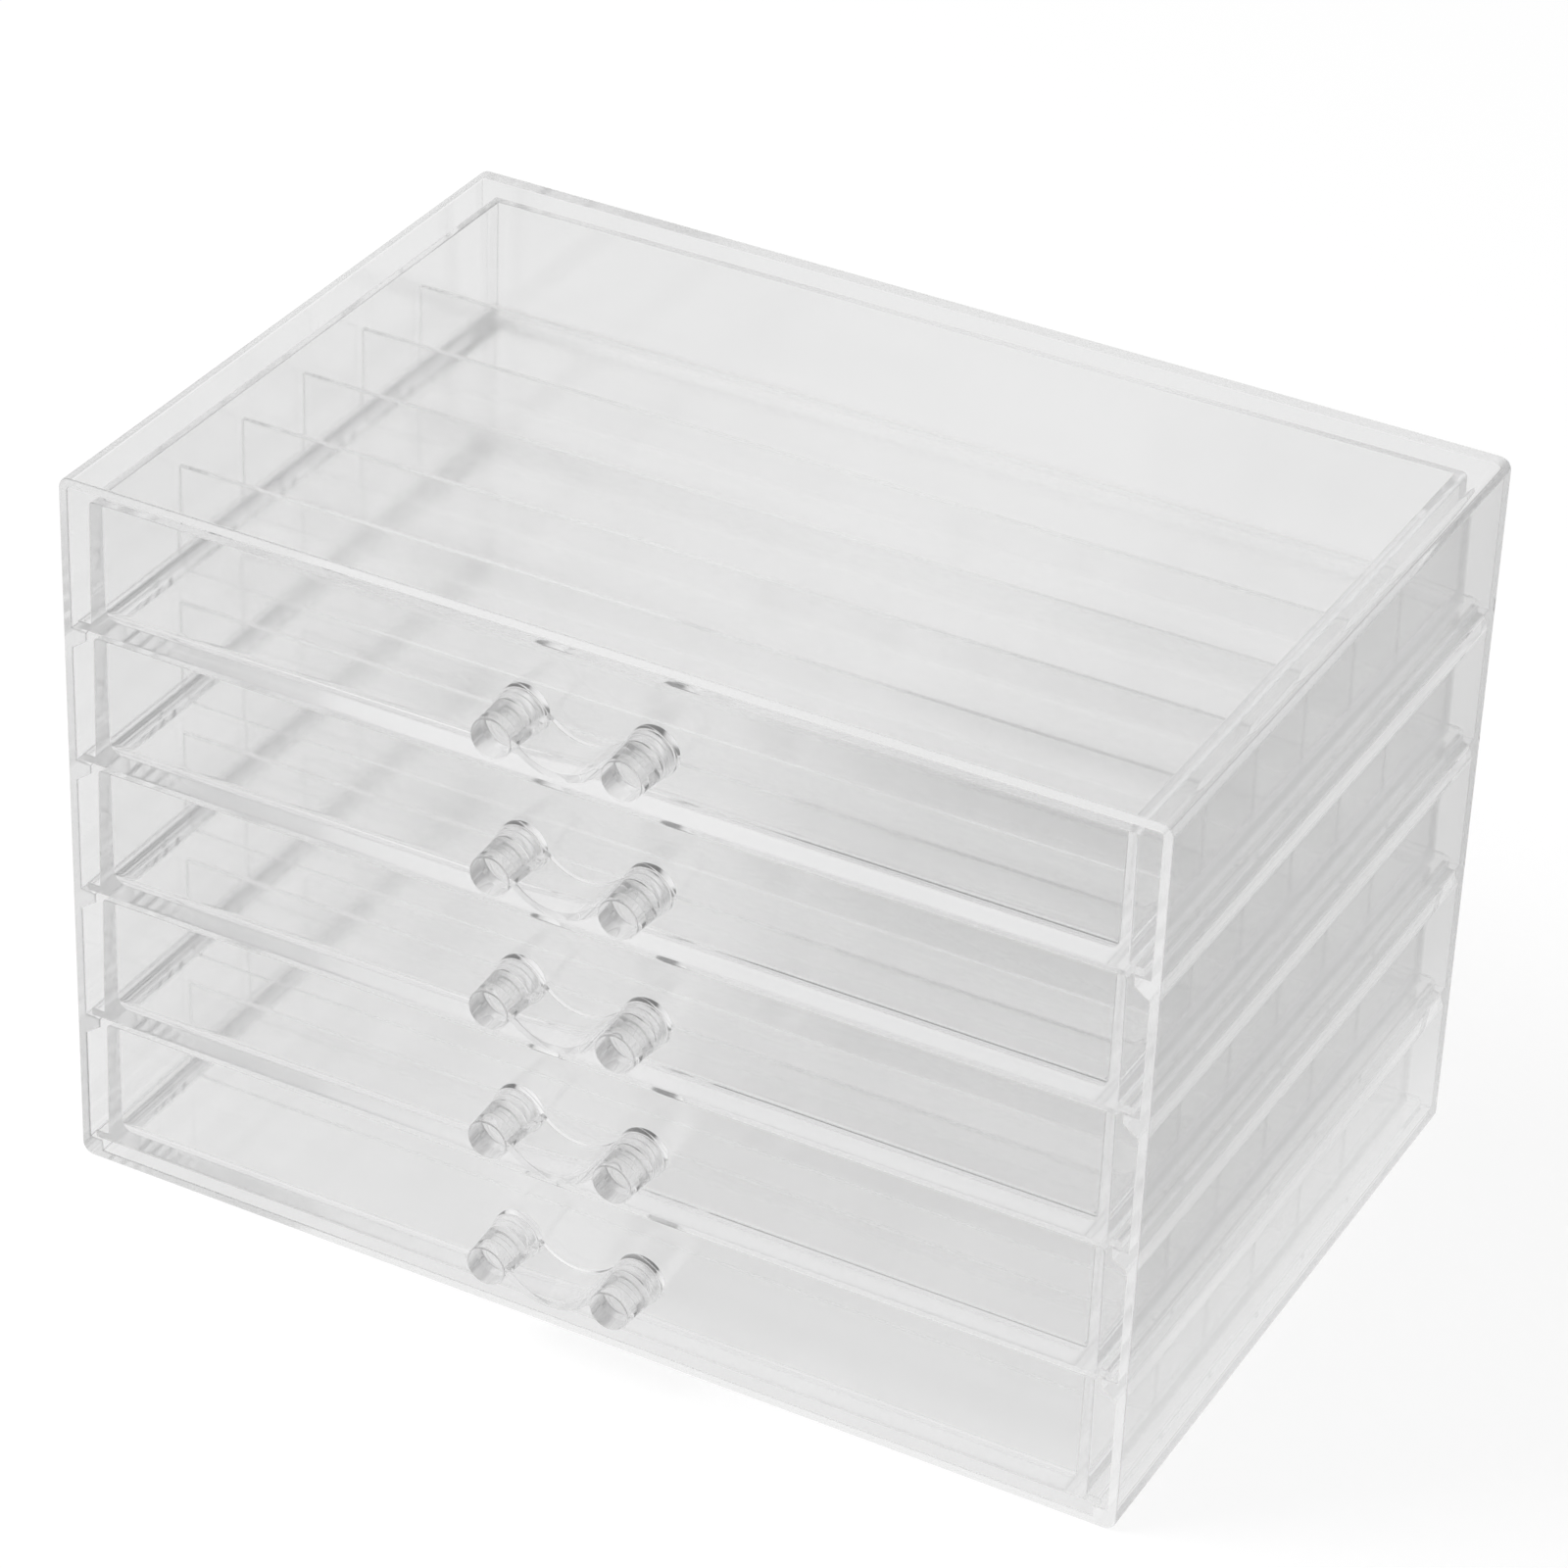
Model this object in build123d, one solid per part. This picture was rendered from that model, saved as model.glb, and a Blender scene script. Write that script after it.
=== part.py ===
from build123d import *
import os

# Clear desktop organizer: an open-fronted casing that holds a stack of pull-out drawers.
# Millimetres, +Z up. The origin is the middle of the casing's resting face, and the open
# front looks towards -Y. Levels are counted from the top drawer down.

# Casing
CASE_WIDTH = 235.0
CASE_DEPTH = 155.0
CASE_WALL = 2.0
CASE_CORNER_RADIUS = 2.6
CAVITY_CORNER_RADIUS = 0.5

# Rails moulded on the casing: one pair under each drawer, the lowest pair on the floor
RAIL_WIDTH = 3.3
RAIL_EDGE = 2.1
RAIL_GUSSET = 2.4
BASE_RAIL_WIDTH = 3.0
BASE_RAIL_HEIGHT = 2.5

# Clearances between a drawer and what is round it
RUNNING_GAP = 0.4
SIDE_CLEARANCE = 1.4
BACK_CLEARANCE = 0.5
DRAWER_GAP = 1.0
CEILING_GAP = 1.6

# Drawer tray
DRAWER_COUNT = 5
DRAWER_HEIGHT = 29.3
FLOOR_THICKNESS = 1.8
FLANGE_REACH = 3.0
FLANGE_CORNER_RADIUS = 2.5
SIDE_WALL = 2.2
SIDE_DRAFT = 0.5
FRONT_WALL = 2.2
BACK_WALL = 2.0
RIM_ROUND = 1.0
FLOOR_FILLET = 4.0

# Divider plates across a tray
DIVIDER_COUNT = 5
DIVIDER_THICKNESS = 1.2
DIVIDER_DROP = 6.0
DIVIDER_CORNER_EASE = 0.5
FRONT_BAY = 25.2
REAR_BAY = 30.1

# Pull handle: two stepped posts and a sagging finger web
POST_SPACING = 27.6
POST_LENGTH = 12.8
POST_END_RADIUS = 4.25
POST_ROOT_RADIUS = 4.65
POST_END_BEVEL = 0.3
PAD_RADIUS = 5.3
PAD_THICKNESS = 1.7
PAD_BEVEL = 0.15
RING_COUNT = 2
RING_WIDTH = 1.6
WEB_THICKNESS = 1.7
WEB_SAG = 3.65
WEB_END_RISE = 0.4
WEB_BLEND = 2.4
WEB_BITE = 0.85
WEB_FRONT_SETBACK = 0.3
WEB_BACK_SETBACK = 0.4

# Places worked out from the sizes above
LEVEL_PITCH = DRAWER_HEIGHT + DRAWER_GAP
STACK_HEIGHT = DRAWER_COUNT * DRAWER_HEIGHT + (DRAWER_COUNT - 1) * DRAWER_GAP
FIRST_FLOOR_Z = CASE_WALL + BASE_RAIL_HEIGHT + RUNNING_GAP
CASE_HEIGHT = FIRST_FLOOR_Z + STACK_HEIGHT + CEILING_GAP + CASE_WALL
FRONT_Y = -CASE_DEPTH / 2
CAVITY_HALF_WIDTH = CASE_WIDTH / 2 - CASE_WALL
CAVITY_DEPTH = CASE_DEPTH - CASE_WALL
FLANGE_HALF_WIDTH = CAVITY_HALF_WIDTH - SIDE_CLEARANCE
WALL_FOOT_HALF_WIDTH = FLANGE_HALF_WIDTH - FLANGE_REACH
WALL_TOP_HALF_WIDTH = WALL_FOOT_HALF_WIDTH - SIDE_DRAFT
INNER_HALF_WIDTH = WALL_TOP_HALF_WIDTH - SIDE_WALL
FLANGE_DEPTH = CAVITY_DEPTH - BACK_CLEARANCE
TRAY_DEPTH = FLANGE_DEPTH - FLANGE_REACH
INNER_DEPTH = TRAY_DEPTH - FRONT_WALL - BACK_WALL
DIVIDER_HEIGHT = DRAWER_HEIGHT - FLOOR_THICKNESS - DIVIDER_DROP


def floor_z(level):
    """Height of the underside of the drawer at a level, 1 being the top one."""
    return FIRST_FLOOR_Z + (DRAWER_COUNT - level) * LEVEL_PITCH


def front_to_back(profile, y_start, length):
    """Solid with a front-view profile, drawn in X and Z, running towards the back."""
    plane = Plane(origin=(0, y_start, 0), x_dir=(1, 0, 0), z_dir=(0, -1, 0))
    return extrude(plane * profile, amount=-length)


def side_to_side(profile, half_width):
    """Solid with a side-view profile, drawn in Y and Z, running across the width."""
    plane = Plane(origin=(-half_width, 0, 0), x_dir=(0, 1, 0), z_dir=(1, 0, 0))
    return extrude(plane * profile, amount=2 * half_width)


def outline(points):
    """Closed face through points in order."""
    return make_face(Polyline(*points, close=True))


def casing():
    """Box open at the front, with a rail along each side wall under every drawer."""
    outer = Pos(0, CASE_HEIGHT / 2) * RectangleRounded(CASE_WIDTH, CASE_HEIGHT, CASE_CORNER_RADIUS)
    cavity_height = CASE_HEIGHT - 2 * CASE_WALL
    inner = Pos(0, CASE_HEIGHT / 2) * RectangleRounded(
        2 * CAVITY_HALF_WIDTH, cavity_height, CAVITY_CORNER_RADIUS
    )
    box = front_to_back(outer, FRONT_Y, CASE_DEPTH) - front_to_back(inner, FRONT_Y, CAVITY_DEPTH)
    rails = [base_rail()] + [side_rail(floor_z(level)) for level in range(1, DRAWER_COUNT)]
    for rail in rails:
        box += [rail, mirror(rail, about=Plane.YZ)]
    return box


def side_rail(drawer_bottom):
    """Rail on the right wall under a drawer: level top, upright edge, sloped underside."""
    wall = CAVITY_HALF_WIDTH + CASE_WALL / 2
    tip = CAVITY_HALF_WIDTH - RAIL_WIDTH
    top = drawer_bottom - RUNNING_GAP
    under = top - RAIL_EDGE
    root = under - RAIL_GUSSET
    profile = outline(
        [(wall, top), (tip, top), (tip, under), (CAVITY_HALF_WIDTH, root), (wall, root)]
    )
    return front_to_back(profile, FRONT_Y, CASE_DEPTH - CASE_WALL / 2)


def base_rail():
    """Rail in the right bottom corner, which carries the lowest drawer."""
    bottom = CASE_WALL / 2
    top = CASE_WALL + BASE_RAIL_HEIGHT
    wall = CAVITY_HALF_WIDTH + CASE_WALL / 2
    tip = CAVITY_HALF_WIDTH - BASE_RAIL_WIDTH
    profile = outline([(wall, bottom), (wall, top), (tip, top), (tip, bottom)])
    return front_to_back(profile, FRONT_Y, CASE_DEPTH - CASE_WALL / 2)


def tray():
    """Drawer tray standing on Z = 0: flanged floor plate, drafted walls, filleted inside."""
    plate = extrude(
        Pos(0, FRONT_Y + FLANGE_DEPTH / 2) * Rectangle(2 * FLANGE_HALF_WIDTH, FLANGE_DEPTH),
        amount=FLOOR_THICKNESS,
    )
    back_corners = plate.edges().filter_by(Axis.Z).sort_by(Axis.Y)[-2:]
    plate = fillet(back_corners, FLANGE_CORNER_RADIUS)
    body = front_to_back(tray_front_view(), FRONT_Y, TRAY_DEPTH)
    return plate + body - tray_hollow()


def tray_front_view():
    """Outline of the tray's walls from the front, leaning in and rounded at the rim."""
    right = [(WALL_FOOT_HALF_WIDTH, FLOOR_THICKNESS / 2), (WALL_TOP_HALF_WIDTH, DRAWER_HEIGHT)]
    left = [(-x, z) for x, z in reversed(right)]
    face = outline(right + left)
    rim_corners = face.vertices().sort_by(Axis.Y)[-2:]
    return fillet(rim_corners, RIM_ROUND)


def tray_hollow():
    """Inside of the tray: upright walls that turn into the floor by a fillet all round."""
    height = DRAWER_HEIGHT - FLOOR_THICKNESS
    middle = Pos(0, FLOOR_THICKNESS + height / 2)
    front_view = fillet(
        (middle * Rectangle(2 * INNER_HALF_WIDTH, height)).vertices().sort_by(Axis.Y)[:2],
        FLOOR_FILLET,
    )
    inside_y = FRONT_Y + FRONT_WALL
    side_middle = Pos(inside_y + INNER_DEPTH / 2, FLOOR_THICKNESS + height / 2)
    side_view = fillet(
        (side_middle * Rectangle(INNER_DEPTH, height)).vertices().sort_by(Axis.Y)[:2],
        FLOOR_FILLET,
    )
    along = front_to_back(front_view, inside_y, INNER_DEPTH)
    return along & side_to_side(side_view, INNER_HALF_WIDTH)


def divider():
    """Divider plate with its foot on Z = 0 and its front face on Y = 0."""
    plate = Pos(0, DIVIDER_HEIGHT / 2) * Rectangle(2 * INNER_HALF_WIDTH, DIVIDER_HEIGHT)
    foot_corners = plate.vertices().sort_by(Axis.Y)[:2]
    profile = fillet(foot_corners, FLOOR_FILLET + DIVIDER_CORNER_EASE)
    return front_to_back(profile, 0, DIVIDER_THICKNESS)


def divider_front(index):
    """Y of the front face of a divider; the bays between the dividers are all alike."""
    plates = DIVIDER_COUNT * DIVIDER_THICKNESS
    middle_bay = (INNER_DEPTH - FRONT_BAY - REAR_BAY - plates) / (DIVIDER_COUNT - 1)
    first = FRONT_Y + FRONT_WALL + FRONT_BAY
    return first + (index - 1) * (middle_bay + DIVIDER_THICKNESS)


def post():
    """Post of the handle, along -Y from its pad's back face at the origin.

    Rings step down evenly from the pad to the post's root, and the post then tapers.
    """
    ring_step = (PAD_RADIUS - POST_ROOT_RADIUS) / (RING_COUNT + 1)
    side = [(0, 0), (PAD_RADIUS, 0), (PAD_RADIUS, PAD_THICKNESS)]
    for ring in range(RING_COUNT):
        radius = PAD_RADIUS - (ring + 1) * ring_step
        start = PAD_THICKNESS + ring * RING_WIDTH
        side += [(radius, start), (radius, start + RING_WIDTH)]
    side += [(POST_ROOT_RADIUS, PAD_THICKNESS + RING_COUNT * RING_WIDTH)]
    side += [(POST_END_RADIUS, POST_LENGTH), (0, POST_LENGTH)]
    section = outline(side)
    section = bevel_corner(section, (POST_END_RADIUS, POST_LENGTH), POST_END_BEVEL)
    pad_corner = (PAD_RADIUS, PAD_THICKNESS)
    section = bevel_corner(section, pad_corner, min(PAD_BEVEL, ring_step / 2))
    return Rot(Z=180) * revolve(section, axis=Axis.Y)


def bevel_corner(face, corner, size):
    """Bevels the vertex of a flat face that stands nearest to a corner point."""
    return chamfer(face.vertices().sort_by_distance((*corner, 0))[0], size)


def finger_web():
    """Band between the posts: level where it leaves them, sagging in between like a smile.

    Two arcs of one slope meet on the chord from the dip to the post, WEB_BLEND before its end.
    """
    reach = POST_SPACING / 2 - POST_END_RADIUS + WEB_BITE
    turn_x = reach - WEB_BLEND
    turn_z = (WEB_SAG + WEB_END_RISE) * turn_x / reach - WEB_SAG
    dip = ThreePointArc((-turn_x, turn_z), (0, -WEB_SAG), (turn_x, turn_z))
    rise = TangentArc((turn_x, turn_z), (reach, WEB_END_RISE), tangent=dip % 1)
    band = trace(dip + rise + mirror(rise, about=Plane.YZ), WEB_THICKNESS)
    length = POST_LENGTH - WEB_FRONT_SETBACK - WEB_BACK_SETBACK
    return front_to_back(band, WEB_FRONT_SETBACK - POST_LENGTH, length)


def handle():
    """Pull handle with its pads on the XZ plane, centred between the posts."""
    half = POST_SPACING / 2
    return Pos(-half, 0, 0) * post() + Pos(half, 0, 0) * post() + finger_web()


def save(shape, name):
    """Writes one node's solid under its name."""
    export_step(shape, "parts/" + name + ".step")


def main():
    os.makedirs("parts", exist_ok=True)
    save(casing(), "casing")
    tray_solid = tray()
    divider_solid = divider()
    handle_solid = handle()
    for level in range(1, DRAWER_COUNT + 1):
        bottom = floor_z(level)
        save(Pos(0, 0, bottom) * tray_solid, f"drawer_{level}")
        save(Pos(0, FRONT_Y, bottom + DRAWER_HEIGHT / 2) * handle_solid, f"handle_{level}")
        for index in range(1, DIVIDER_COUNT + 1):
            place = Pos(0, divider_front(index), bottom + FLOOR_THICKNESS)
            save(place * divider_solid, f"divider_{level}_{index}")


main()
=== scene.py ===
import logging
import math
from collections.abc import Callable, Iterator
from dataclasses import dataclass
from enum import Enum
from typing import Any

import bmesh
import bpy
from mathutils import Matrix, Vector


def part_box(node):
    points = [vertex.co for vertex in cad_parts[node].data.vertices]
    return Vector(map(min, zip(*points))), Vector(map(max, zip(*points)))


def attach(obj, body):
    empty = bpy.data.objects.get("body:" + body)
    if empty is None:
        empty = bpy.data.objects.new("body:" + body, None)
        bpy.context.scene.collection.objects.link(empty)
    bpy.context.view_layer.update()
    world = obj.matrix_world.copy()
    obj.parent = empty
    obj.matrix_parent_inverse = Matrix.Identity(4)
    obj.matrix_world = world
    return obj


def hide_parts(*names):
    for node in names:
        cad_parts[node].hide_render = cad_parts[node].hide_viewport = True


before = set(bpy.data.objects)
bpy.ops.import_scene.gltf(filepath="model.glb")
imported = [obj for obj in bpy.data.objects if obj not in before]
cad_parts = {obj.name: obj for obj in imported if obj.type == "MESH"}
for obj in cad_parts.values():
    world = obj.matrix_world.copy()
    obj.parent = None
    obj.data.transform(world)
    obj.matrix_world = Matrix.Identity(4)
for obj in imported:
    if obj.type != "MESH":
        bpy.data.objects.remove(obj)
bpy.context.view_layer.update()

# A clear organizer: a casing open at the front that holds five pull-out drawers.
# Metres, +Z up. The origin is the middle of the casing's resting face, and -Y is the front.

MM = 0.001
# Places nearer to each other than this count as one place.
TOUCH = 0.01 * MM
# A bonded piece sinks this far into its neighbour, so light sees no film of air between them.
WELD = 0.15 * MM
# Edges that turn more than SHARP_TURN are rounded. Faces that turn less than SMOOTH_TURN blend,
# and those that turn less than FLAT_TURN are one face.
SHARP_TURN = math.radians(30)
SMOOTH_TURN = math.radians(35)
FLAT_TURN = math.radians(0.05)
# A face looks a way, and an edge runs along an axis, when the cosine between them is over these.
FACING = 0.999
ALONG = 0.9
LEVELS = range(1, 6)
ROWS = range(1, 6)
LOG = logging.getLogger("organizer")

# The places and greys of a colour ramp.
Stops = tuple[tuple[float, float], ...]


class Side(Enum):
    """The ways that a picked face can look."""

    RIGHT = (1, 0, 0)
    FRONT = (0, -1, 0)
    BACK = (0, 1, 0)
    UP = (0, 0, 1)

    def faces(self, normal: Vector) -> bool:
        """True if a normal looks this way."""
        return normal.dot(Vector(self.value)) > FACING


class Outlets:
    """The outputs of a shader node, each as a Signal."""

    def __init__(self, graph: "ShaderGraph", node: bpy.types.Node) -> None:
        """Keeps the node and the graph that it is in.

        Args:
            graph: The graph that new Math nodes go into.
            node: The node whose outputs are read.
        """
        self.graph = graph
        self.node = node

    def __getitem__(self, key: str | int) -> "Signal":
        """Returns the output of a name or number."""
        return Signal(self.graph, self.node.outputs[key])


class Signal:
    """A shader output that Python's operators work on, each by a Math node."""

    def __init__(self, graph: "ShaderGraph", socket: bpy.types.NodeSocket) -> None:
        """Wraps a socket.

        Args:
            graph: The graph that the socket is in.
            socket: The output socket.
        """
        self.graph = graph
        self.socket = socket

    def math(self, operation: str, *values: "Signal | float") -> "Signal":
        """Puts values through a Math node.

        Args:
            operation: The Math node's operation.
            values: Its inputs in order.

        Returns:
            The node's result.
        """
        inputs = dict(enumerate(values))
        return self.graph.node("ShaderNodeMath", {"operation": operation}, inputs)[0]

    def __add__(self, other: "Signal | float") -> "Signal":
        """Returns self + other."""
        return self.math("ADD", self, other)

    def __radd__(self, other: float) -> "Signal":
        """Returns other + self."""
        return self.math("ADD", other, self)

    def __sub__(self, other: "Signal | float") -> "Signal":
        """Returns self - other."""
        return self.math("SUBTRACT", self, other)

    def __rsub__(self, other: float) -> "Signal":
        """Returns other - self."""
        return self.math("SUBTRACT", other, self)

    def __mul__(self, other: "Signal | float") -> "Signal":
        """Returns self * other."""
        return self.math("MULTIPLY", self, other)

    def __rmul__(self, other: float) -> "Signal":
        """Returns other * self."""
        return self.math("MULTIPLY", other, self)

    def highest(self, other: "Signal | float") -> "Signal":
        """Returns the higher of self and other."""
        return self.math("MAXIMUM", self, other)

    def below(self, limit: float) -> "Signal":
        """Returns 1 where self is under a limit and 0 elsewhere."""
        return self.math("LESS_THAN", self, limit)

    def step(self, low: float, high: float) -> "Signal":
        """Returns 0 below low and 1 above high, with a smooth rise between."""
        settings = {"interpolation_type": "SMOOTHSTEP"}
        inputs = {"Value": self, "From Min": low, "From Max": high}
        return self.graph.node("ShaderNodeMapRange", settings, inputs)["Result"]


class ShaderGraph:
    """A node tree that is filled from Python."""

    def __init__(self, owner: bpy.types.Material | bpy.types.World) -> None:
        """Empties the owner's node tree.

        Args:
            owner: The material or world that the nodes are for.
        """
        owner.use_nodes = True
        self.tree = owner.node_tree
        self.tree.nodes.clear()

    def node(
        self,
        kind: str,
        settings: dict[str, Any] | None = None,
        inputs: dict[str | int, Any] | None = None,
    ) -> Outlets:
        """Adds a node.

        Args:
            kind: The node's type.
            settings: Its own settings, and under "stops" a colour ramp's places and greys.
            inputs: A value or a Signal for each named or numbered input.

        Returns:
            The node's outputs.
        """
        made = self.tree.nodes.new(kind)
        for name, value in (settings or {}).items():
            if name == "stops":
                self._set_stops(made.color_ramp, value)
            else:
                setattr(made, name, value)
        for key, value in (inputs or {}).items():
            if isinstance(value, Signal):
                self.tree.links.new(value.socket, made.inputs[key])
            else:
                made.inputs[key].default_value = value
        return Outlets(self, made)

    @staticmethod
    def _set_stops(ramp: bpy.types.ColorRamp, stops: Stops) -> None:
        """Sets the grey stops of a colour ramp.

        Args:
            ramp: The ramp.
            stops: A place and a grey for each stop.
        """
        while len(ramp.elements) < len(stops):
            ramp.elements.new(1.0)
        for element, (place, grey) in zip(ramp.elements, stops):
            element.position = place
            element.color = (grey, grey, grey, 1.0)


@dataclass(frozen=True)
class ClearPlastic:
    """Finish of a clear moulding: gloss with faint ripples, handling marks and dust.

    The gloss is the roughness of clean plastic. A little of it softens the deeper layers.
    """

    name: str
    tint: tuple[float, float, float] = (0.985, 0.985, 0.985)
    worn_tint: tuple[float, float, float] = (0.955, 0.955, 0.955)
    index: float = 1.49
    gloss: float = 0.06
    mark_haze: float = 0.05
    mark_size: float = 30 * MM
    mark_detail: float = 3.0
    mark_edge: tuple[float, float] = (0.5, 0.78)
    mark_tint: float = 0.5
    ripple_height: float = 0.003 * MM
    ripple_size: float = 28 * MM
    ripple_detail: float = 1.0
    speck_size: float = 3.5 * MM
    speck_radius: float = 0.06
    speck_share: float = 0.03

    def material(self) -> bpy.types.Material:
        """Makes the finish.

        Returns:
            A material that reads Object coordinates.
        """
        made = bpy.data.materials.new(self.name)
        graph = ShaderGraph(made)
        place = graph.node("ShaderNodeTexCoord")["Object"]
        marks = self._noise(graph, place, self.mark_size, self.mark_detail).step(*self.mark_edge)
        height = self._noise(graph, place, self.ripple_size, self.ripple_detail)
        ripple = graph.node(
            "ShaderNodeBump", None, {"Distance": self.ripple_height, "Height": height}
        )
        worn = (marks * self.mark_tint).highest(self._specks(graph, place))
        colour = graph.node(
            "ShaderNodeMix",
            {"data_type": "RGBA"},
            {"Factor": worn, "A": (*self.tint, 1), "B": (*self.worn_tint, 1)},
        )
        shader = graph.node(
            "ShaderNodeBsdfPrincipled",
            None,
            {
                "Base Color": colour["Result"],
                "Roughness": marks * self.mark_haze + self.gloss,
                "Transmission Weight": 1.0,
                "IOR": self.index,
                "Normal": ripple["Normal"],
            },
        )
        graph.node("ShaderNodeOutputMaterial", None, {"Surface": shader["BSDF"]})
        return made

    @staticmethod
    def _noise(graph: ShaderGraph, place: Signal, size: float, detail: float) -> Signal:
        """Returns a noise with patches of a size."""
        inputs = {"Vector": place, "Scale": 1 / size, "Detail": detail}
        return graph.node("ShaderNodeTexNoise", None, inputs)["Fac"]

    def _specks(self, graph: ShaderGraph, place: Signal) -> Signal:
        """Returns 1 in sparse dust specks and 0 elsewhere."""
        inputs = {"Vector": place, "Scale": 1 / self.speck_size}
        cell = graph.node("ShaderNodeTexVoronoi", None, inputs)
        chosen = graph.node("ShaderNodeSeparateColor", None, {"Color": cell["Color"]})[0]
        return cell["Distance"].below(self.speck_radius) * chosen.below(self.speck_share)


class Bench:
    """A mesh on the bench, in edit mode, where operators shape what is picked."""

    def __init__(self, name: str) -> None:
        """Takes the active object, sets its place in its mesh and opens it.

        Args:
            name: The object's new name.
        """
        self.piece = bpy.context.active_object
        self.piece.name = name
        bpy.ops.object.transform_apply(location=True, rotation=True, scale=True)
        bpy.ops.object.mode_set(mode="EDIT")

    @classmethod
    def block(cls, name: str, low: Vector, high: Vector) -> "Bench":
        """Starts from a cube primitive between two corners."""
        clear_selection()
        bpy.ops.mesh.primitive_cube_add(size=1, location=(low + high) / 2, scale=high - low)
        return cls(name)

    @classmethod
    def rod(cls, name: str, foot: Vector, radius: float, length: float, sides: int) -> "Bench":
        """Starts from a cylinder primitive that runs from its foot towards the front."""
        clear_selection()
        bpy.ops.mesh.primitive_cylinder_add(
            vertices=sides,
            radius=radius,
            depth=length,
            end_fill_type="NGON",
            location=foot - Vector((0, length / 2, 0)),
            rotation=(math.pi / 2, 0, 0),
        )
        return cls(name)

    def pick_faces(self, test: Callable[[Vector, Vector], bool]) -> "Bench":
        """Selects the faces whose middle and normal pass a test."""
        bpy.ops.mesh.select_mode(type="FACE")
        bpy.ops.mesh.select_all(action="DESELECT")
        mesh = bmesh.from_edit_mesh(self.piece.data)
        for face in mesh.faces:
            face.select_set(test(face.calc_center_median(), face.normal))
        return self._picked(mesh, any(face.select for face in mesh.faces))

    def pick_edges(self, test: Callable[[Vector, Vector], bool]) -> "Bench":
        """Selects the edges whose middle and direction pass a test."""
        bpy.ops.mesh.select_mode(type="EDGE")
        bpy.ops.mesh.select_all(action="DESELECT")
        mesh = bmesh.from_edit_mesh(self.piece.data)
        for edge in mesh.edges:
            start, end = (vertex.co for vertex in edge.verts)
            edge.select_set(test((start + end) / 2, (end - start).normalized()))
        return self._picked(mesh, any(edge.select for edge in mesh.edges))

    def pick_points(self, test: Callable[[Vector], bool]) -> "Bench":
        """Selects the vertices whose place passes a test."""
        bpy.ops.mesh.select_mode(type="VERT")
        bpy.ops.mesh.select_all(action="DESELECT")
        mesh = bmesh.from_edit_mesh(self.piece.data)
        for vertex in mesh.verts:
            vertex.select_set(test(vertex.co))
        return self._picked(mesh, any(vertex.select for vertex in mesh.verts))

    def _picked(self, mesh: bmesh.types.BMesh, found: bool) -> "Bench":
        """Stores a selection, and stops if nothing was picked."""
        if not found:
            raise ValueError(f"{self.piece.name}: nothing was picked")
        mesh.select_flush_mode()
        bmesh.update_edit_mesh(self.piece.data)
        return self

    def cut(self, place: Vector, side: Side) -> "Bench":
        """Cuts what is picked by a plane through a place."""
        bpy.ops.mesh.bisect(plane_co=place, plane_no=side.value)
        return self

    def push(self, move: Vector) -> "Bench":
        """Extrudes what is picked by a move."""
        bpy.ops.mesh.extrude_region_move(TRANSFORM_OT_translate={"value": move})
        return self

    def move(self, move: Vector) -> "Bench":
        """Moves what is picked."""
        bpy.ops.transform.translate(value=move)
        return self

    def grow(self, factors: tuple[float, float, float], centre: Vector) -> "Bench":
        """Scales what is picked about a centre."""
        bpy.ops.transform.resize(value=factors, center_override=centre)
        return self

    def inset(self, thickness: float) -> "Bench":
        """Insets what is picked."""
        bpy.ops.mesh.inset(thickness=thickness)
        return self

    def round_off(self, radius: float, segments: int) -> "Bench":
        """Rounds the picked edges."""
        bpy.ops.mesh.bevel(
            offset=radius, offset_type="OFFSET", segments=segments, affect="EDGES"
        )
        return self

    def sweep(self, centre: Vector, angle: float, steps: int) -> "Bench":
        """Spins what is picked about an axis along +Y."""
        bpy.ops.mesh.spin(steps=steps, angle=angle, center=centre, axis=(0, 1, 0))
        return self

    def merge(self) -> "Bench":
        """Merges vertices that touch."""
        bpy.ops.mesh.select_all(action="SELECT")
        bpy.ops.mesh.remove_doubles(threshold=TOUCH)
        return self

    def close(self) -> bpy.types.Object:
        """Merges flat neighbours, turns faces outwards and ends the work in edit mode.

        Returns:
            The modelled object.
        """
        self.merge()
        bpy.ops.mesh.dissolve_limited(angle_limit=FLAT_TURN)
        bpy.ops.mesh.select_all(action="SELECT")
        bpy.ops.mesh.normals_make_consistent(inside=False)
        bpy.ops.object.mode_set(mode="OBJECT")
        return self.piece


def clear_selection() -> None:
    """Leaves nothing selected, since loading the frame leaves its nodes selected."""
    bpy.ops.object.select_all(action="DESELECT")


def take_up(piece: bpy.types.Object) -> None:
    """Makes a piece the only selected and the active one."""
    clear_selection()
    piece.select_set(True)
    bpy.context.view_layer.objects.active = piece


def apply_modifier(piece: bpy.types.Object, kind: str, settings: dict[str, Any]) -> None:
    """Adds a modifier to a piece and applies it.

    Args:
        piece: The piece.
        kind: The modifier's type.
        settings: The modifier's settings.
    """
    take_up(piece)
    modifier = piece.modifiers.new(kind.lower(), kind)
    for name, value in settings.items():
        setattr(modifier, name, value)
    bpy.ops.object.modifier_apply(modifier=modifier.name)


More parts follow.
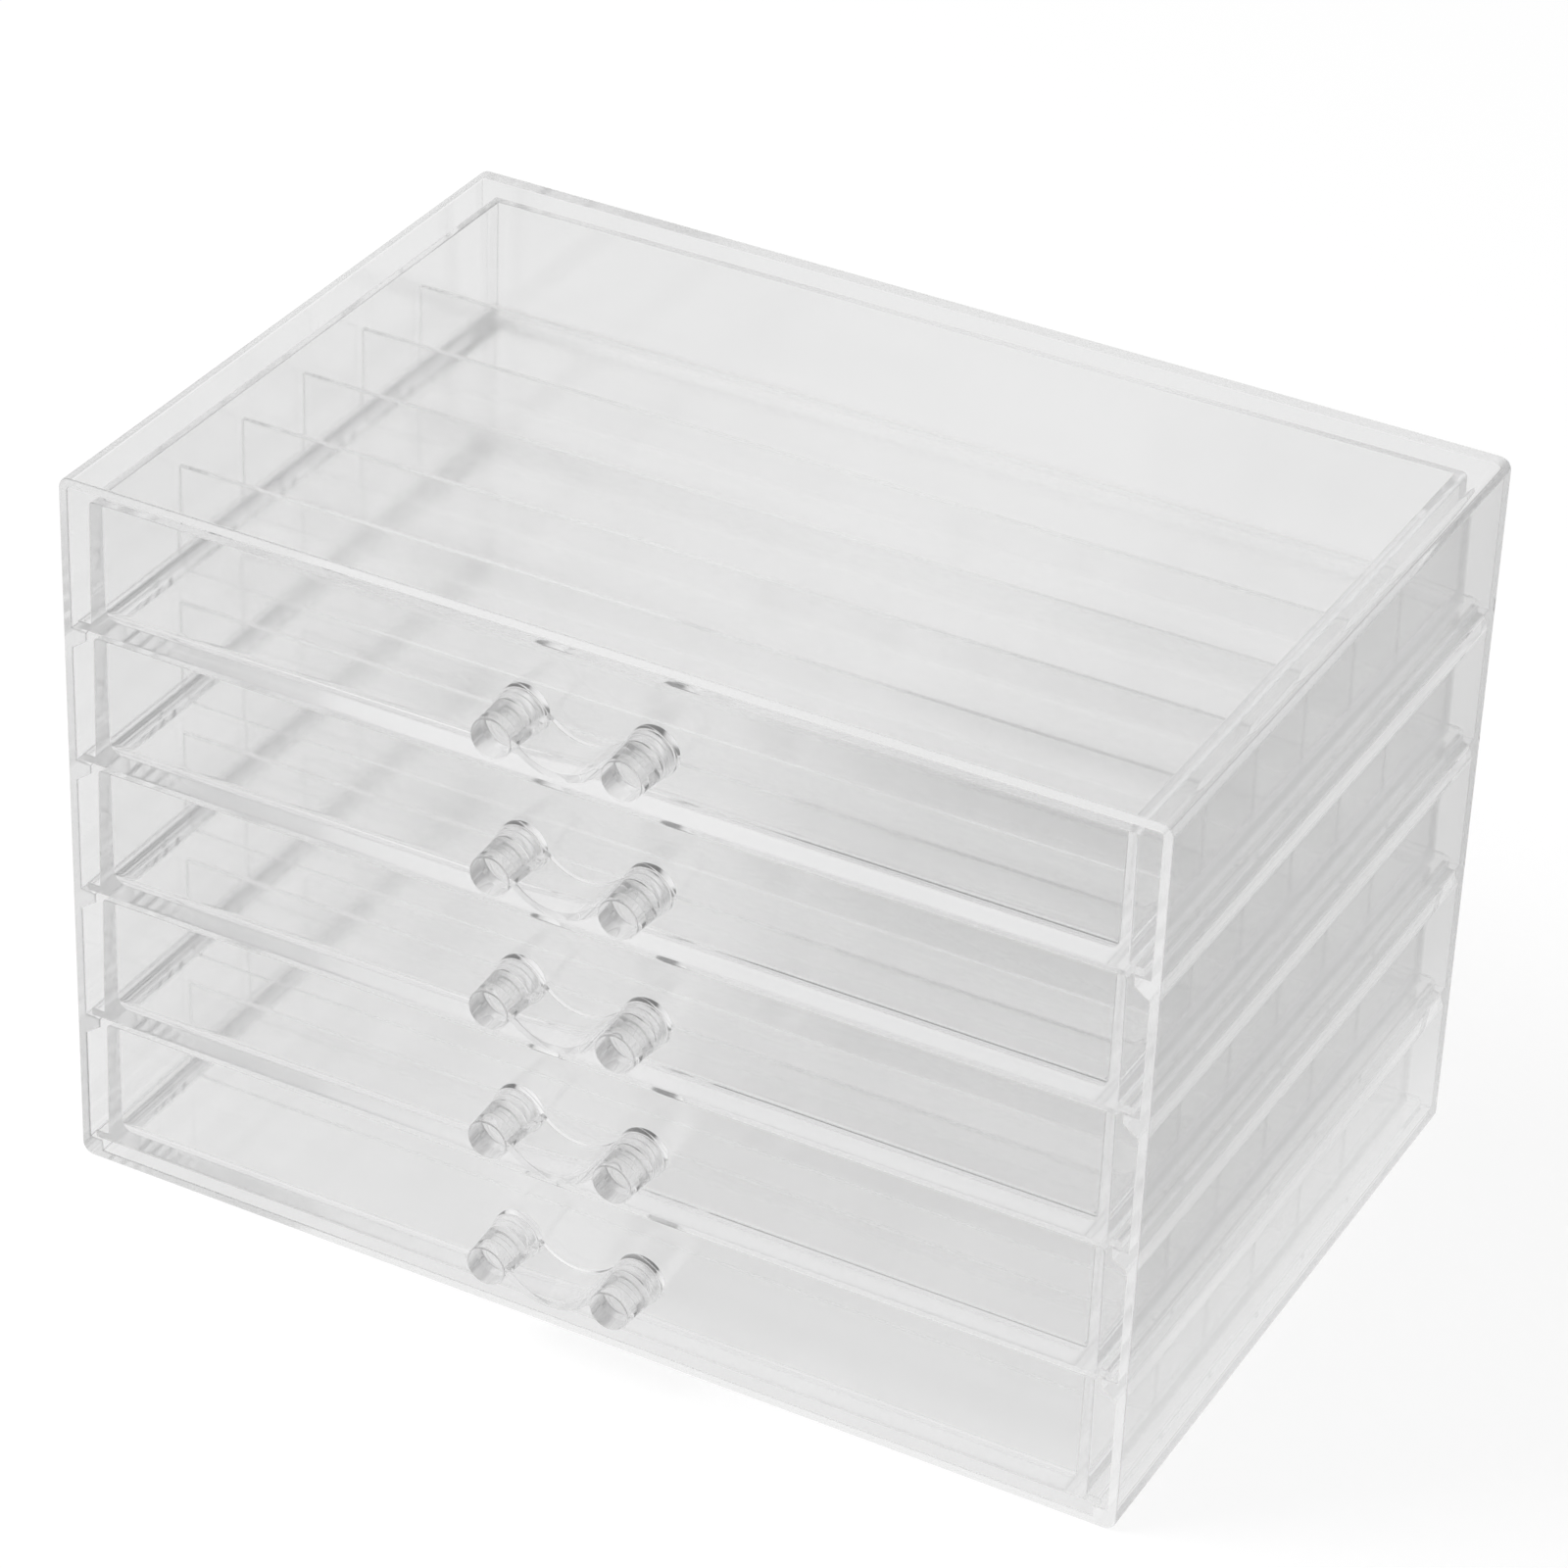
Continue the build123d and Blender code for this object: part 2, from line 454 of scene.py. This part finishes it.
def soften(piece: bpy.types.Object, width: float, segments: int = 3) -> None:
    """Rounds a piece's sharp edges and evens out its shading.

    Args:
        piece: The piece.
        width: The width of the rounding, or 0 to leave the edges as they are.
        segments: Faces across the rounding.
    """
    if width:
        bevel = {
            "limit_method": "ANGLE",
            "angle_limit": SHARP_TURN,
            "width": width,
            "segments": segments,
            "use_clamp_overlap": False,
        }
        apply_modifier(piece, "BEVEL", bevel)
    take_up(piece)
    bpy.ops.object.shade_smooth_by_angle(angle=SMOOTH_TURN)
    apply_modifier(piece, "WEIGHTED_NORMAL", {"keep_sharp": True, "weight": 100})


def weld(piece: bpy.types.Object, others: list[bpy.types.Object]) -> None:
    """Fuses other pieces into one and removes them."""
    for other in others:
        apply_modifier(piece, "BOOLEAN", {"operation": "UNION", "object": other})
        bpy.data.objects.remove(other)


def copy_of(piece: bpy.types.Object, name: str, move: Vector) -> bpy.types.Object:
    """Copies a piece with its own mesh.

    Args:
        piece: The piece to copy.
        name: The copy's name.
        move: How far the copy is from the piece.

    Returns:
        The copy, with its place in its mesh.
    """
    take_up(piece)
    bpy.ops.object.duplicate(linked=False)
    made = bpy.context.active_object
    made.name = name
    bpy.ops.transform.translate(value=move)
    bpy.ops.object.transform_apply(location=True, rotation=False, scale=False)
    return made


def put(piece: bpy.types.Object, node: str, body: str, slot: str, look: bpy.types.Material) -> None:
    """Puts a finished piece in the place of a CAD node.

    Args:
        piece: The piece.
        node: The node that it stands for.
        body: The body that it moves with.
        slot: The record's material slot; not used.
        look: Its material.
    """
    piece.data.materials.clear()
    piece.data.materials.append(look)
    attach(piece, body)
    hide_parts(node)
    LOG.info("%s on %s: %d faces", piece.name, body, len(piece.data.polygons))


@dataclass
class Casing:
    """The outer box, open at the front, with rails along its side walls."""

    finish: ClearPlastic
    wall: float = 2.0 * MM
    corner_radius: float = 2.6 * MM
    corner_segments: int = 6
    rail_width: float = 3.3 * MM
    rail_edge: float = 2.1 * MM
    rail_gusset: float = 2.4 * MM
    base_rail_width: float = 3.0 * MM
    base_rail_height: float = 2.5 * MM
    running_gap: float = 0.4 * MM
    edge_round: float = 0.3 * MM

    def build(self) -> bpy.types.Object:
        """Models the casing from its back wall forwards.

        Returns:
            The finished shell.
        """
        low, high = map(Vector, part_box("casing"))
        inner = high - Vector((self.wall,) * 3)
        floor = low.z + self.wall
        bench = Bench.block("casing_shell", Vector((low.x, inner.y, low.z)), high)
        bench.pick_edges(lambda middle, way: abs(way.y) > ALONG)
        bench.round_off(self.corner_radius, self.corner_segments)
        bench.pick_faces(lambda middle, normal: Side.FRONT.faces(normal))
        bench.inset(self.wall)
        self._mark_rails(bench, inner, floor)

        def is_solid(middle: Vector, normal: Vector) -> bool:
            """True for the faces of the back wall that the walls and rails grow from."""
            if not Side.FRONT.faces(normal):
                return False
            in_wall = abs(middle.x) > inner.x or not floor < middle.z < inner.z
            return in_wall or self._in_rail(middle, inner, floor)

        bench.pick_faces(is_solid)
        bench.push(Vector((0, low.y - inner.y, 0)))
        shell = bench.close()
        soften(shell, self.edge_round)
        put(shell, "casing", "casing_body", "casing_clear", self.finish.material())
        return shell

    def _rail_tops(self) -> list[float]:
        """Returns the height of the rail under each drawer but the lowest."""
        return [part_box(f"drawer_{level}")[0][2] - self.running_gap for level in LEVELS[:-1]]

    def _in_rail(self, middle: Vector, inner: Vector, floor: float) -> bool:
        """True if a place is inside a rail's profile."""
        across = inner.x - abs(middle.x)
        if middle.z < floor + self.base_rail_height:
            return across < self.base_rail_width
        depth = self.rail_edge + self.rail_gusset
        return across < self.rail_width and any(
            top - depth < middle.z < top for top in self._rail_tops()
        )

    def _mark_rails(self, bench: Bench, inner: Vector, floor: float) -> None:
        """Draws the rails' profiles on the face of the back wall.

        Args:
            bench: The bench with the back wall.
            inner: The cavity's highest corner.
            floor: The height of the cavity's floor.
        """

        def pick_column(width: float, sign: int) -> None:
            """Picks the faces within a width of one side of the cavity."""
            bench.pick_faces(
                lambda middle, normal: Side.FRONT.faces(normal)
                and inner.x - width < sign * middle.x < inner.x
                and floor < middle.z < inner.z
            )

        base_top = floor + self.base_rail_height
        under = self.rail_edge
        root = under + self.rail_gusset
        for sign in (-1, 1):
            edge = sign * (inner.x - self.rail_width)
            pick_column(2 * inner.x, sign)
            bench.cut(Vector((edge, 0, 0)), Side.RIGHT)
            heights = [top - drop for top in self._rail_tops() for drop in (0, under, root)]
            for height in [base_top, *heights]:
                pick_column(self.rail_width, sign)
                bench.cut(Vector((0, 0, height)), Side.UP)
            bench.pick_faces(
                lambda middle, normal: Side.FRONT.faces(normal)
                and inner.x - self.rail_width < sign * middle.x < inner.x
                and floor < middle.z < base_top
            )
            bench.cut(Vector((sign * (inner.x - self.base_rail_width), 0, 0)), Side.RIGHT)
            roots = [Vector((edge, inner.y, top - root)) for top in self._rail_tops()]
            bench.pick_points(lambda place: any((place - each).length < TOUCH for each in roots))
            bench.move(Vector((sign * self.rail_width, 0, 0)))
            bench.merge()


@dataclass
class Tray:
    """A drawer's tray: a floor plate with a flange and four walls."""

    finish: ClearPlastic
    floor: float = 1.8 * MM
    flange: float = 3.0 * MM
    flange_corner: float = 2.5 * MM
    draft: float = 0.5 * MM
    side_wall: float = 2.2 * MM
    front_wall: float = 2.2 * MM
    back_wall: float = 2.0 * MM
    rim_round: float = 1.0 * MM
    rim_segments: int = 4
    floor_fillet: float = 4.0 * MM
    fillet_segments: int = 8
    edge_round: float = 0.25 * MM

    def build(self) -> bpy.types.Object:
        """Models the top drawer's tray.

        Returns:
            The tray without its material.
        """
        low, high = map(Vector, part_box("drawer_1"))
        foot = high.x - self.flange
        rim = foot - self.draft
        inside = rim - self.side_wall
        back = high.y - self.flange
        top = low.z + self.floor
        bench = Bench.block("drawer_1_tray", low, Vector((high.x, high.y, top)))
        bench.pick_edges(lambda middle, way: abs(way.z) > ALONG and middle.y > 0)
        bench.round_off(self.flange_corner, self.fillet_segments)
        for place, side in ((foot, Side.RIGHT), (-foot, Side.RIGHT), (back, Side.BACK)):
            bench.pick_faces(lambda middle, normal: Side.UP.faces(normal))
            bench.cut(Vector((place, place, 0)), side)
        bench.pick_faces(
            lambda middle, normal: Side.UP.faces(normal)
            and abs(middle.x) < foot
            and middle.y < back
        )
        bench.push(Vector((0, 0, high.z - top)))
        bench.grow((rim / foot, 1, 1), Vector((0, 0, high.z)))
        for place, side in (
            (inside, Side.RIGHT),
            (-inside, Side.RIGHT),
            (low.y + self.front_wall, Side.BACK),
            (back - self.back_wall, Side.BACK),
        ):
            bench.pick_faces(lambda middle, normal: Side.UP.faces(normal) and middle.z > top + TOUCH)
            bench.cut(Vector((place, place, 0)), side)

        def over_hollow(middle: Vector) -> bool:
            """True for a place over the tray's hollow."""
            if abs(middle.x) > inside + TOUCH:
                return False
            return low.y + self.front_wall - TOUCH < middle.y < back - self.back_wall + TOUCH

        bench.pick_faces(
            lambda middle, normal: Side.UP.faces(normal)
            and middle.z > top + TOUCH
            and over_hollow(middle)
        )
        bench.push(Vector((0, 0, top - high.z)))
        bench.pick_edges(
            lambda middle, way: abs(way.z) < TOUCH
            and abs(middle.z - top) < TOUCH
            and over_hollow(middle)
        )
        bench.round_off(self.floor_fillet, self.fillet_segments)
        bench.pick_edges(
            lambda middle, way: abs(way.y) > ALONG
            and abs(middle.z - high.z) < TOUCH
            and abs(abs(middle.x) - rim) < TOUCH
        )
        bench.round_off(self.rim_round, self.rim_segments)
        tray = bench.close()
        soften(tray, self.edge_round)
        return tray


@dataclass
class Divider:
    """An upright plate across a tray, welded to its floor and side walls."""

    finish: ClearPlastic
    foot_radius: float = 4.0 * MM
    foot_segments: int = 8
    edge_round: float = 0.15 * MM
    edge_segments: int = 2

    def build(self) -> bpy.types.Object:
        """Models the front divider of the top drawer.

        Returns:
            The divider without its material.
        """
        low, high = map(Vector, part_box("divider_1_1"))
        bite = Vector((WELD, 0, 0))
        bench = Bench.block("divider_1_1_plate", low - bite - Vector((0, 0, WELD)), high + bite)
        bench.pick_edges(lambda middle, way: abs(way.y) > ALONG and middle.z < (low.z + high.z) / 2)
        bench.round_off(self.foot_radius + WELD, self.foot_segments)
        plate = bench.close()
        soften(plate, self.edge_round, self.edge_segments)
        return plate


@dataclass
class Handle:
    """A pull handle: two stepped posts and the sagging web between them.

    A pad stands a hair off the drawer's front round its bonded patch, which lies a little low.
    That film of air is what turns the pad's upper rim dark and bright.
    """

    finish: ClearPlastic
    spacing: float = 27.6 * MM
    pad_radius: float = 5.3 * MM
    pad_thickness: float = 1.7 * MM
    ring_count: int = 2
    ring_width: float = 1.6 * MM
    pad_step: float = 0.35 * MM
    ring_step: float = 0.15 * MM
    end_radius: float = 4.25 * MM
    end_round: float = 0.3 * MM
    end_segments: int = 4
    step_round: float = 0.06 * MM
    step_segments: int = 3
    seat_gap: float = 0.04 * MM
    bond_radius: float = 4.0 * MM
    bond_drop: float = 1.2 * MM
    sides: int = 240
    web_thickness: float = 1.7 * MM
    web_sag: float = 3.65 * MM
    web_rise: float = 0.4 * MM
    web_blend: float = 2.4 * MM
    web_bite: float = 0.85 * MM
    web_front_setback: float = 0.3 * MM
    web_back_setback: float = 0.4 * MM
    web_steps: int = 28
    edge_round: float = 0.12 * MM
    edge_segments: int = 2

    def build(self) -> bpy.types.Object:
        """Models the top drawer's handle.

        Returns:
            The handle without its material.
        """
        low, high = map(Vector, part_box("handle_1"))
        middle = Vector((0, high.y, (low.z + high.z) / 2))
        half = Vector((self.spacing / 2, 0, 0))
        length = high.y - low.y
        posts = [self._post(middle + half, length), self._post(middle - half, length)]
        web = self._web(middle, length)
        pull = posts.pop()
        pull.name = "handle_1_pull"
        weld(pull, [*posts, web])
        soften(pull, 0)
        return pull

    def _post(self, foot: Vector, length: float) -> bpy.types.Object:
        """Models a post from its pad towards the front, and its bonded patch towards the drawer.

        Args:
            foot: The middle of the pad's back face.
            length: The post's length.

        Returns:
            The post.
        """
        pad_back = foot - Vector((0, self.seat_gap, 0))
        pad_length = self.pad_thickness - self.seat_gap
        bench = Bench.rod("post", pad_back, self.pad_radius, pad_length, self.sides)
        bench.pick_faces(lambda middle, normal: Side.BACK.faces(normal))
        bench.inset(self.pad_radius - self.bond_radius)
        bench.move(Vector((0, 0, -self.bond_drop)))
        bench.push(Vector((0, self.seat_gap + WELD, 0)))
        bench.pick_faces(lambda middle, normal: Side.FRONT.faces(normal))
        bench.inset(self.pad_step)
        for _ in range(self.ring_count):
            bench.push(Vector((0, -self.ring_width, 0)))
            bench.inset(self.ring_step)
        rest = length - self.pad_thickness - self.ring_count * self.ring_width
        bench.push(Vector((0, -rest, 0)))
        root_radius = self.pad_radius - self.pad_step - self.ring_count * self.ring_step
        taper = self.end_radius / root_radius
        end = foot - Vector((0, length, 0))
        bench.grow((taper, 1, taper), end)
        bench.pick_edges(lambda middle, way: abs(middle.y - end.y) < TOUCH)
        bench.round_off(self.end_round, self.end_segments)
        first = foot.y - self.pad_thickness
        steps = [first - ring * self.ring_width for ring in range(self.ring_count + 1)]

        def rings_step(middle: Vector, way: Vector) -> bool:
            """True for an edge that runs round the post where one ring meets the next."""
            outwards = Vector((middle.x - foot.x, 0, middle.z - foot.z)).normalized()
            runs_round = abs(way.cross(outwards).y) > ALONG
            return runs_round and any(abs(middle.y - step) < TOUCH for step in steps)

        bench.pick_edges(rings_step)
        bench.round_off(self.step_round, self.step_segments)
        return bench.close()

    def _web(self, middle: Vector, length: float) -> bpy.types.Object:
        """Models the web: two arcs swept from its dip, mirrored to the other side.

        Args:
            middle: The point midway between the posts on the drawer's front.
            length: The posts' length.

        Returns:
            The web.
        """
        reach = self.spacing / 2 - self.end_radius + self.web_bite
        turn_x = reach - self.web_blend
        turn_rise = (self.web_sag + self.web_rise) * turn_x / reach
        slope = 2 * math.atan2(turn_rise, turn_x)
        dip_radius = turn_x / math.sin(slope)
        end_radius = self.web_blend / math.sin(slope)
        front = middle.y - length + self.web_front_setback
        back = middle.y - self.web_back_setback
        dip = middle.z - self.web_sag
        start = Vector((0, (front + back) / 2, dip))
        clear_selection()
        bpy.ops.mesh.primitive_plane_add(size=1, location=start, rotation=(0, math.pi / 2, 0))
        bpy.context.active_object.scale = (self.web_thickness, back - front, 1)
        bench = Bench("web")
        bpy.ops.mesh.select_all(action="SELECT")
        bench.sweep(Vector((0, 0, dip + dip_radius)), slope, self.web_steps)
        end = Vector((reach, 0, middle.z + self.web_rise - end_radius))
        bench.sweep(end, -slope, self.web_steps // 2)
        bench.pick_faces(lambda place, normal: abs(place.x) < TOUCH and abs(normal.x) > ALONG)
        bpy.ops.mesh.delete(type="FACE")
        web = bench.close()
        apply_modifier(web, "MIRROR", {"use_axis": (True, False, False), "merge_threshold": TOUCH})
        take_up(web)
        bpy.ops.object.mode_set(mode="EDIT")
        bpy.ops.mesh.select_all(action="SELECT")
        bpy.ops.mesh.normals_make_consistent(inside=False)
        bpy.ops.object.mode_set(mode="OBJECT")
        rounding = {"width": self.edge_round, "segments": self.edge_segments}
        apply_modifier(web, "BEVEL", {"limit_method": "ANGLE", **rounding})
        return web


@dataclass
class DrawerStack:
    """The drawers, each a tray, its dividers and its pull handle."""

    tray: Tray
    divider: Divider
    handle: Handle

    def build(self) -> None:
        """Models one drawer and copies its pieces to every level."""
        pieces = {
            "tray": (self.tray.build(), self.tray.finish.material()),
            "plate": (self.divider.build(), self.divider.finish.material()),
            "pull": (self.handle.build(), self.handle.finish.material()),
        }
        slots = {"tray": "tray_clear", "plate": "divider_clear", "pull": "handle_clear"}
        for level in LEVELS:
            for node, kind in self._nodes(level):
                pattern, look = pieces[kind]
                first = next(name for name, same in self._nodes(1) if same == kind)
                move = Vector(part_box(node)[0]) - Vector(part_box(first)[0])
                piece = copy_of(pattern, f"{node}_{kind}", move) if node != first else pattern
                put(piece, node, f"drawer_{level}_body", slots[kind], look)

    @staticmethod
    def _nodes(level: int) -> Iterator[tuple[str, str]]:
        """Yields the CAD nodes of a level's drawer, each with its kind of piece."""
        yield f"drawer_{level}", "tray"
        yield f"handle_{level}", "pull"
        for row in ROWS:
            yield f"divider_{level}_{row}", "plate"


@dataclass(frozen=True)
class ViewPoint:
    """The camera: place, aim and lens, with its middle in a picture 1600 pixels wide."""

    place: tuple[float, float, float] = (0.4405, -0.8530, 0.6985)
    azimuth: float = math.radians(26.93)
    elevation: float = math.radians(32.06)
    roll: float = math.radians(2.54)
    picture: int = 1600
    focal_pixels: float = 5827.0
    middle: tuple[float, float] = (832.0, 755.0)
    sensor_width: float = 36.0
    clip: tuple[float, float] = (0.01, 100.0)

    def build(self) -> None:
        """Adds the camera and makes it the scene's own."""
        back = Vector(
            (
                math.sin(self.azimuth) * math.cos(self.elevation),
                -math.cos(self.azimuth) * math.cos(self.elevation),
                math.sin(self.elevation),
            )
        )
        level = Vector((math.cos(self.azimuth), math.sin(self.azimuth), 0))
        above = back.cross(level)
        right = math.cos(self.roll) * level + math.sin(self.roll) * above
        up = math.cos(self.roll) * above - math.sin(self.roll) * level
        lens = bpy.data.cameras.new("camera")
        lens.sensor_width = self.sensor_width
        lens.lens = self.focal_pixels * self.sensor_width / self.picture
        lens.shift_x = 0.5 - self.middle[0] / self.picture
        lens.shift_y = self.middle[1] / self.picture - 0.5
        lens.clip_start, lens.clip_end = self.clip
        camera = bpy.data.objects.new("camera", lens)
        turned = Matrix((right, up, back)).transposed().to_4x4()
        camera.matrix_world = Matrix.Translation(self.place) @ turned
        bpy.context.collection.objects.link(camera)
        bpy.context.scene.camera = camera


@dataclass(frozen=True)
class SoftLamp:
    """A square soft lamp that looks at the middle of the object."""

    name: str
    place: tuple[float, float, float]
    size: float
    power: float
    aim: tuple[float, float, float] = (0.0, 0.0, 0.08)

    def build(self) -> None:
        """Hangs the lamp, hidden from the camera and from the plastic."""
        light = bpy.data.lights.new(self.name, "AREA")
        light.size = self.size
        light.energy = self.power
        lamp = bpy.data.objects.new(self.name, light)
        lamp.location = self.place
        lamp.rotation_mode = "QUATERNION"
        way = Vector(self.aim) - Vector(self.place)
        lamp.rotation_quaternion = way.to_track_quat("-Z", "Y")
        lamp.visible_camera = lamp.visible_glossy = lamp.visible_transmission = False
        bpy.context.collection.objects.link(lamp)


@dataclass
class Studio:
    """The pale floor, the backdrop, the soft lamps and the light paths.

    Through plastic, the floor and the backdrop are pale behind the object and dark to its right.
    On the floor that darkness is a painted shadow. In front of the object the floor carries painted
    shade, with a painted bright band to the front-left.
    """

    key: SoftLamp = SoftLamp("key_lamp", (-0.9, -0.5, 1.3), 0.9, 22.0)
    fill: SoftLamp = SoftLamp("fill_lamp", (1.2, -0.6, 0.9), 0.6, 6.0)
    floor_size: float = 6.0
    floor_grey: float = 0.90
    camera_white: float = 0.82
    plastic_white: float = 0.95
    floor_light: float = 0.83
    # Through plastic, a painted shadow of this grey lies on the floor to the object's right, fading
    # in across the x span below.
    right_painted_shadow: float = 0.46
    right_shadow_edge: tuple[float, float] = (0.118, 0.15)
    # Painted shade: far out in front, towards the camera, the floor's painted greys darken to this
    # share across the span below.
    far_painted_shade: float = 0.25
    far_shade_edge: tuple[float, float] = (0.20, 0.30)
    # Past this y span in front of the object, the floor's grey through plastic is painted from its
    # left round to its right: pale with a painted bright band to the front-left, and painted shade
    # straight ahead and to the right.
    front_edge: tuple[float, float] = (0.085, 0.10)
    front_painted_greys: Stops = (
        (0.0, 0.8),
        (0.156, 0.75),
        (0.21, 1.0),
        (0.32, 0.85),
        (0.38, 0.65),
        (0.42, 0.12),
        (0.75, 0.16),
        (1.0, 0.35),
    )
    floor_drop: float = 0.1 * MM
    camera_way: tuple[float, float, float] = (0.453, -0.892, 0.0)
    dark_way: tuple[float, float, float] = (0.819, -0.574, 0.0)
    dome_stops: Stops = ((0.0, 0.94), (0.3, 0.9), (0.5, 0.72), (0.65, 0.36), (1.0, 0.1))
    box_way: tuple[float, float, float] = (-0.48, -0.82, 0.31)
    box_edge: tuple[float, float] = (0.86, 0.92)
    sky_light: float = 0.75
    bounces: int = 160

    def build(self) -> None:
        """Sets up everything round the object."""
        self._floor()
        self._backdrop()
        self.key.build()
        self.fill.build()
        scene = bpy.context.scene
        scene.view_settings.view_transform = "Standard"
        scene.cycles.blur_glossy = 0.0
        scene.cycles.max_bounces = self.bounces
        scene.cycles.transmission_bounces = self.bounces
        scene.cycles.glossy_bounces = self.bounces

    @staticmethod
    def _ramp(graph: ShaderGraph, place: Signal, stops: Stops) -> Signal:
        """Returns the grey of a colour ramp with soft stops at a place from 0 to 1."""
        return graph.node("ShaderNodeValToRGB", {"stops": stops}, {"Fac": place})["Color"]

    def _floor(self) -> None:
        """Adds the floor, which keeps the object's shadow."""
        clear_selection()
        bpy.ops.mesh.primitive_plane_add(size=self.floor_size, location=(0, 0, -self.floor_drop))
        floor = bpy.context.active_object
        floor.name = "floor"
        look = bpy.data.materials.new("floor")
        graph = ShaderGraph(look)
        path = graph.node("ShaderNodeLightPath")
        place = graph.node("ShaderNodeTexCoord")["Object"]
        axes = graph.node("ShaderNodeSeparateXYZ", None, {"Vector": place})
        # Painted shadow: through plastic, the floor's grey falls towards the object's right.
        right = axes["X"].step(*self.right_shadow_edge) * (self.right_painted_shadow / self.floor_light - 1) + 1.0
        # Painted light and shade in front of the object: greys from its left round to its right,
        # darker further out towards the camera.
        ahead = axes["Y"] * -1.0
        azimuth = axes["X"].math("ARCTAN2", axes["X"], ahead - self.front_edge[0])
        front = self._ramp(graph, azimuth * (1 / math.pi) + 0.5, self.front_painted_greys)
        toward = axes["X"] * self.camera_way[0] + axes["Y"] * self.camera_way[1]
        front = front * (toward.step(*self.far_shade_edge) * (self.far_painted_shade - 1) + 1.0)
        near = ahead.step(*self.front_edge)
        behind = right * self.floor_light * (1.0 - near)
        # Camera rays see the floor white. Glossy and transmission rays see its painted greys.
        level = path["Is Camera Ray"].highest(front * near + behind)
        grey = (self.floor_grey,) * 3 + (1,)
        matt = graph.node("ShaderNodeBsdfDiffuse", None, {"Color": grey})["BSDF"]
        white = graph.node("ShaderNodeEmission", None, {"Color": level})["Emission"]
        plastic = path["Is Glossy Ray"].highest(path["Is Transmission Ray"])
        share = (path["Is Camera Ray"] * self.camera_white).highest(plastic * self.plastic_white)
        both = graph.node("ShaderNodeMixShader", None, {0: share, 1: matt, 2: white})["Shader"]
        graph.node("ShaderNodeOutputMaterial", None, {"Surface": both})
        look.cycles.emission_sampling = "NONE"
        floor.data.materials.append(look)

    def _backdrop(self) -> None:
        """Sets the world: white to the camera, and in plastic dark on the camera's side."""
        world = bpy.data.worlds.new("backdrop")
        world.cycles.sampling_method = "NONE"
        bpy.context.scene.world = world
        graph = ShaderGraph(world)
        path = graph.node("ShaderNodeLightPath")
        way = graph.node("ShaderNodeTexCoord")["Generated"]
        dot = {"operation": "DOT_PRODUCT"}
        to_dark = graph.node("ShaderNodeVectorMath", dot, {0: way, 1: self.dark_way})["Value"]
        dome = self._ramp(graph, to_dark * 0.5 + 0.5, self.dome_stops)
        to_box = graph.node("ShaderNodeVectorMath", dot, {0: way, 1: self.box_way})["Value"]
        dome = dome.highest(to_box.step(*self.box_edge))
        white = graph.node("ShaderNodeBackground", None, {"Strength": 1.0})["Background"]
        soft = graph.node("ShaderNodeBackground", None, {"Color": dome})["Background"]
        sky = graph.node("ShaderNodeBackground", None, {"Strength": self.sky_light})["Background"]
        plastic = path["Is Glossy Ray"].highest(path["Is Transmission Ray"])
        lit = graph.node("ShaderNodeMixShader", None, {0: plastic, 1: sky, 2: soft})["Shader"]
        seen = {0: path["Is Camera Ray"], 1: lit, 2: white}
        both = graph.node("ShaderNodeMixShader", None, seen)["Shader"]
        graph.node("ShaderNodeOutputWorld", None, {"Surface": both})


def main() -> None:
    """Builds the camera, the studio, the casing and the drawers."""
    logging.basicConfig(level=logging.INFO, format="%(message)s")
    ViewPoint().build()
    Studio().build()
    Casing(ClearPlastic("casing_plastic")).build()
    crisp = ClearPlastic("handle_plastic", gloss=0.0, ripple_size=6 * MM, ripple_height=0.002 * MM)
    tray = Tray(ClearPlastic("tray_plastic"))
    divider = Divider(ClearPlastic("divider_plastic"))
    DrawerStack(tray, divider, Handle(crisp)).build()


if __name__ == "__main__":
    main()
